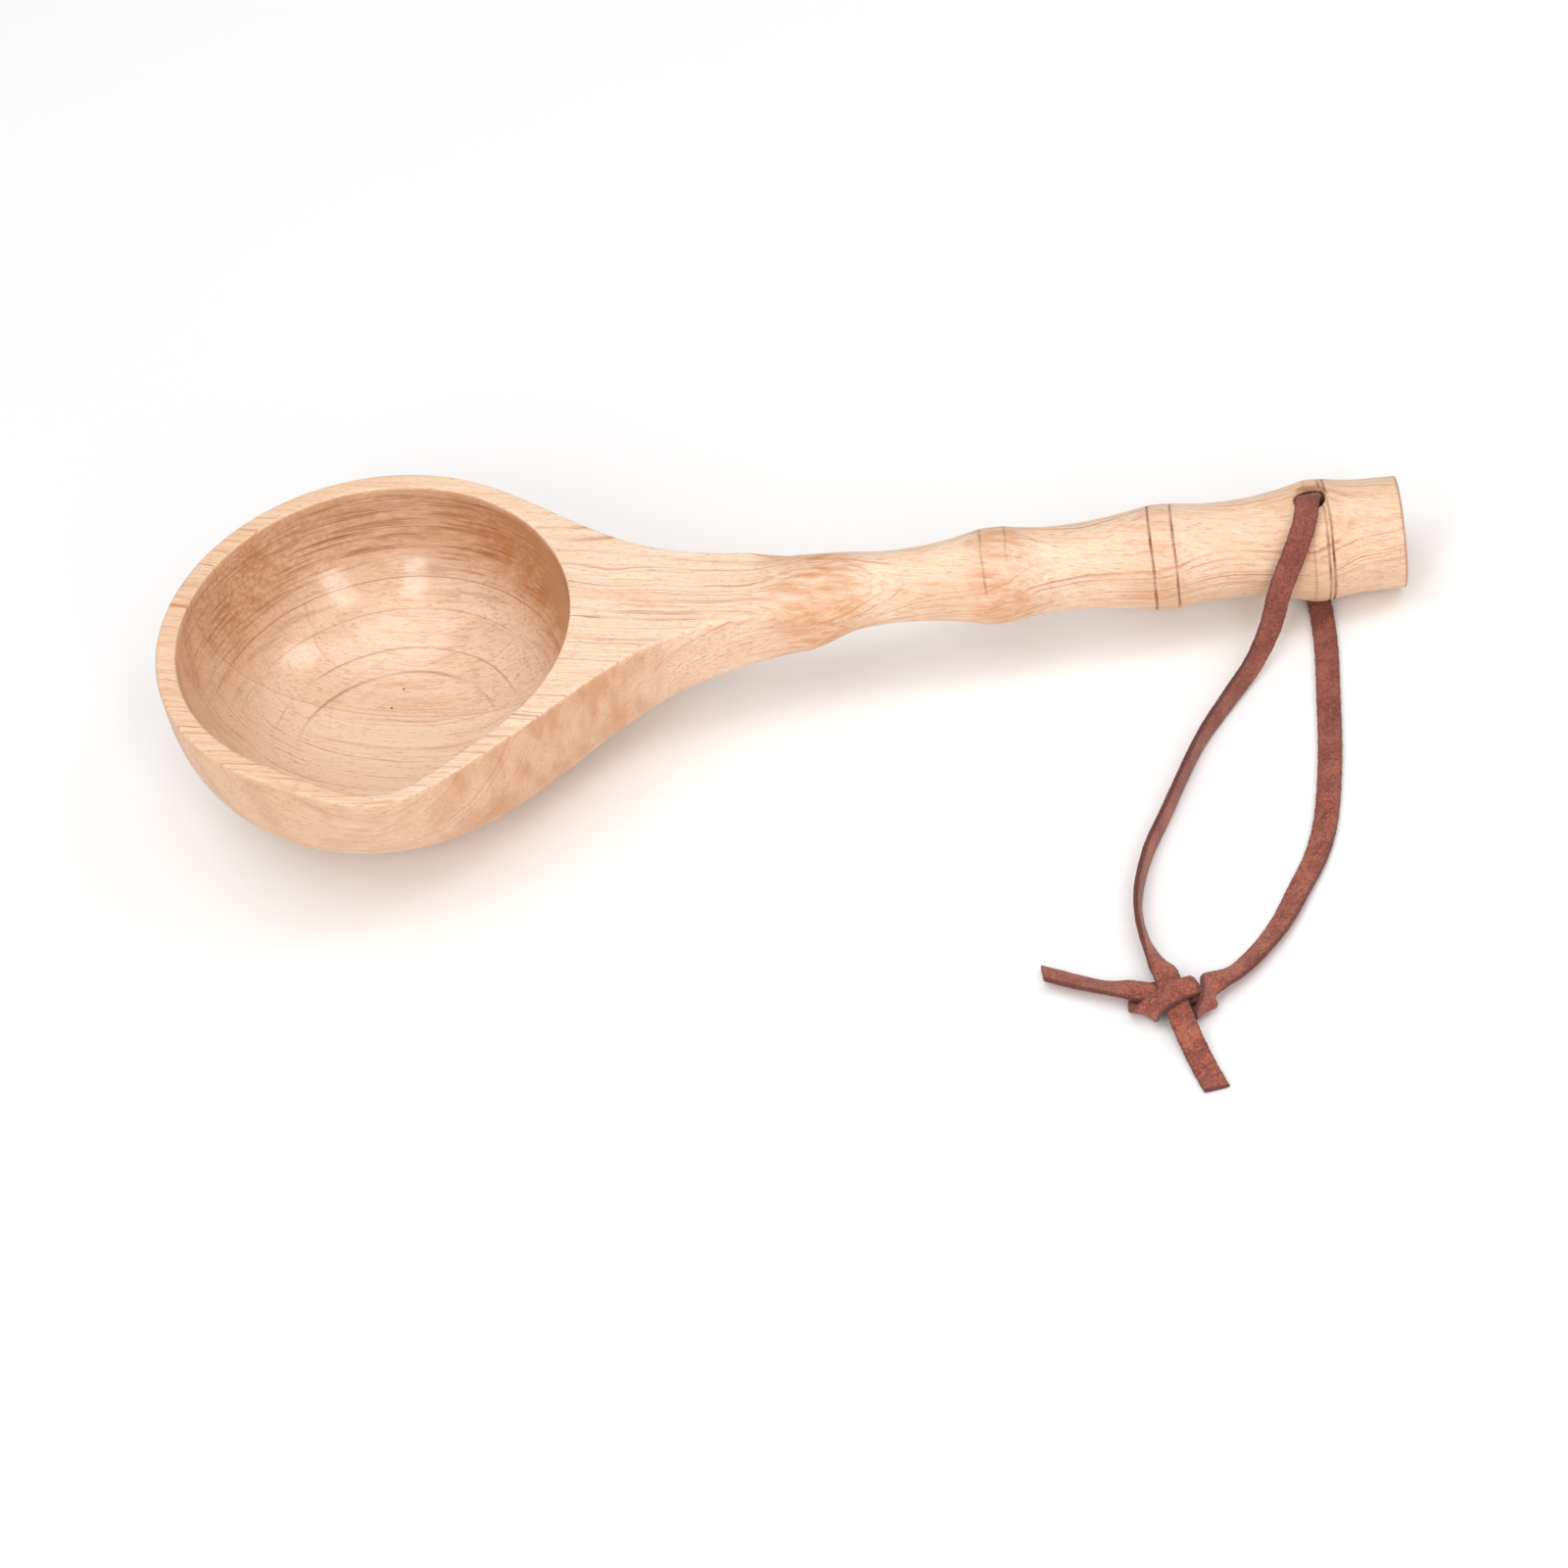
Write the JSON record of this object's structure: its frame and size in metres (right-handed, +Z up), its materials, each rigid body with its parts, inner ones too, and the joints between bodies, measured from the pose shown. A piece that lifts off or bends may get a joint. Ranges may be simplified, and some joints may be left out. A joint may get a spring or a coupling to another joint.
{
  "type": "wooden ladle",
  "caption": "Deep round wooden ladle with a pouring lip on one side, a flat-topped neck, a cane-shaped handle and a knotted suede lace through a hole near the handle's end.",
  "frame": {"origin": "On the floor under the middle of the wooden body's box, with the ladle resting on its bowl and its handle's end.", "axes": "+X runs from the bowl to the end of the handle, +Z is up from the floor, and the pouring lip is on the -Y side."},
  "size_m": [0.2714, 0.1818, 0.0454],
  "materials": {
    "wood": "sanded and lightly oiled, satin",
    "suede": "napped suede, matt"
  },
  "bodies": {
    "ladle": {"ladle_body": "wood"},
    "lace": {"lace_lower_tail": "suede", "lace_front_strand": "suede", "lace_in_hole": "suede", "lace_back_strand": "suede", "lace_knot": "suede", "lace_left_tail": "suede"}
  },
  "joints": [
    {"name": "lace_swing", "type": "hinge", "parent": "ladle", "child": "lace", "pos_m": [0.11567, 0.00238, 0.014], "axis": [0, 0, 1], "range_deg": [-10, 10]}
  ]
}
